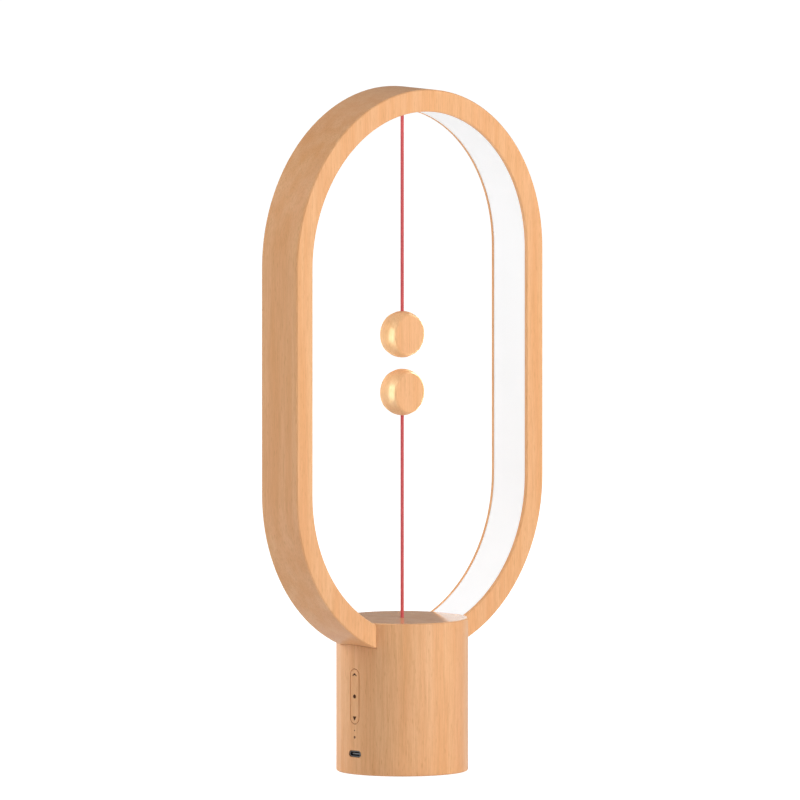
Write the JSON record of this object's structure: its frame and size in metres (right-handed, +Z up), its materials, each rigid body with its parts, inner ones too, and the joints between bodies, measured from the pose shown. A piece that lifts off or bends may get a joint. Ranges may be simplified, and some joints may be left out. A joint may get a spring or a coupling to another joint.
{
  "type": "magnetic balance lamp",
  "caption": "Table lamp: a wooden light ring on a round base, with two corded wooden balls held a small gap apart by magnets; joining them pulls a switch in the base.",
  "frame": {"origin": "on the table, under the middle of the round base", "axes": "+Z up the lamp; the ring lies in the XZ plane and its front faces -Y; the key and the charging socket are on the -X side of the base"},
  "size_m": [0.2, 0.0776, 0.403],
  "materials": {
    "wood": "satin lacquer over pale beech",
    "milky_cover": "milky translucent silicone, lit from behind",
    "smoked_lens": "smoked acrylic",
    "led_board": "white solder mask",
    "led_phosphor": "yellow phosphor",
    "cord": "fine round braid",
    "brass": "turned",
    "magnet": "nickel plated",
    "nylon": "natural nylon",
    "black_plastic": "moulded",
    "grey_plastic": "moulded",
    "screw_steel": "zinc plated",
    "socket_steel": "drawn steel",
    "ballast_steel": "rolled plate",
    "board_green": "solder mask",
    "cell_foil": "laminated foil",
    "lead_red": "silicone sleeve",
    "lead_black": "silicone sleeve",
    "felt": "pressed felt"
  },
  "bodies": {
    "base": {"base_body": "wood", "light_ring": "wood", "light_cover": "milky_cover", "led_board": "led_board", "led_chips": "led_phosphor", "led_leads": "lead_red", "cord_anchor": "brass", "upper_cord_tail": "cord", "cord_bush": "nylon", "switch_housing": "black_plastic", "housing_cap": "black_plastic", "housing_screws": "screw_steel", "contact_leaves": "brass", "return_spring": "screw_steel", "key_guide": "grey_plastic", "control_board": "board_green", "board_parts": "black_plastic", "key_switches": "black_plastic", "board_screws": "screw_steel", "usb_socket": "socket_steel", "status_lens": "smoked_lens", "chassis": "grey_plastic", "battery_cell": "cell_foil", "wiring": "lead_black", "ballast_plate": "ballast_steel", "bottom_cover": "black_plastic", "tie_screws": "screw_steel", "ring_screws": "screw_steel", "foot_pad": "felt"},
    "upper_swivel": {"upper_cord_root": "cord"},
    "upper_pendulum": {"upper_cord": "cord", "upper_ball": "wood", "upper_plug": "wood", "upper_knot": "cord", "upper_magnet": "magnet"},
    "pull": {"pull_slider": "nylon", "contact_ring": "brass", "pull_knot": "cord", "pull_cord": "cord"},
    "lower_swivel": {"lower_cord_root": "cord"},
    "lower_pendulum": {"lower_cord": "cord", "lower_ball": "wood", "lower_plug": "wood", "lower_knot": "cord", "lower_magnet": "magnet"},
    "key_carrier": {"key_cradle": "black_plastic"},
    "key": {"key_cap": "wood"}
  },
  "joints": [
    {"name": "upper_swing_front", "type": "hinge", "parent": "base", "child": "upper_swivel", "pos_m": [0, 0, 0.3889], "axis": [1, 0, 0], "range_deg": [-75, 75]},
    {"name": "upper_swing_side", "type": "hinge", "parent": "upper_swivel", "child": "upper_pendulum", "pos_m": [0, 0, 0.3889], "axis": [0, 1, 0], "range_deg": [-30, 30]},
    {"name": "pull_slide", "type": "slide", "parent": "base", "child": "pull", "axis": [0, 0, 1], "range_m": [-0.003, 0], "stiffness_N_per_m": 150, "springref_m": 0.002, "deforming": ["return_spring"]},
    {"name": "lower_swing_front", "type": "hinge", "parent": "pull", "child": "lower_swivel", "pos_m": [0, 0, 0.095], "axis": [1, 0, 0], "range_deg": [-75, 75], "stiffness_Nm_per_rad": 0.05},
    {"name": "lower_swing_side", "type": "hinge", "parent": "lower_swivel", "child": "lower_pendulum", "pos_m": [0, 0, 0.095], "axis": [0, 1, 0], "range_deg": [-30, 30], "stiffness_Nm_per_rad": 0.05},
    {"name": "key_press", "type": "slide", "parent": "base", "child": "key_carrier", "axis": [1, 0, 0], "range_m": [0, 0.0003], "stiffness_N_per_m": 1500},
    {"name": "key_rock", "type": "hinge", "parent": "key_carrier", "child": "key", "pos_m": [-0.0332, 0, 0.0465], "axis": [0, 1, 0], "range_deg": [-1.5, 1.5], "stiffness_Nm_per_rad": 0.1}
  ]
}
